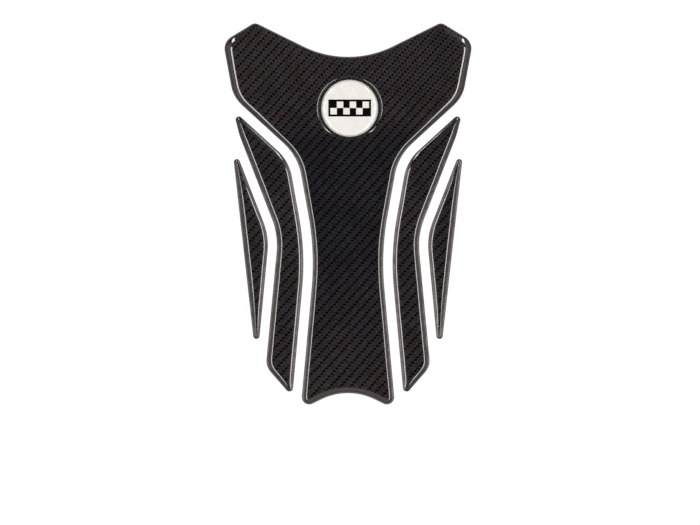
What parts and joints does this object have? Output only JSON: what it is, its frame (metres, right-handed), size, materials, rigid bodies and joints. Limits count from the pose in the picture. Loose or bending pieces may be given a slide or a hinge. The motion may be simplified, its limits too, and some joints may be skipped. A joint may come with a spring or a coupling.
{
  "type": "motorcycle tank pad",
  "caption": "Domed carbon-look tank protector: a waisted centre pad with two ears, curved side strips that follow it, and a round badge under the top notch.",
  "frame": {"origin": "centre of the set's outline, on the plane of its adhesive faces", "axes": "+Y up the tank towards the filler cap, +X to the right as seen from above, +Z away from the tank"},
  "size_m": [0.1308, 0.2018, 0.0023],
  "materials": {
    "printed_film": "printed black vinyl film with its adhesive",
    "resin_over_carbon": "clear glossy resin with the twill print seen through it",
    "white_film": "white vinyl film",
    "black_print": "black ink",
    "resin_over_badge": "clear glossy resin with the badge's print seen through it"
  },
  "bodies": {
    "root": {"centre_pad_film": "printed_film", "centre_pad_dome": "resin_over_carbon", "right_inner_strip_film": "printed_film", "right_inner_strip_dome": "resin_over_carbon", "left_inner_strip_film": "printed_film", "left_inner_strip_dome": "resin_over_carbon", "right_outer_strip_film": "printed_film", "right_outer_strip_dome": "resin_over_carbon", "left_outer_strip_film": "printed_film", "left_outer_strip_dome": "resin_over_carbon", "badge_film": "white_film", "badge_print": "black_print", "badge_dome": "resin_over_badge"}
  },
  "joints": []
}
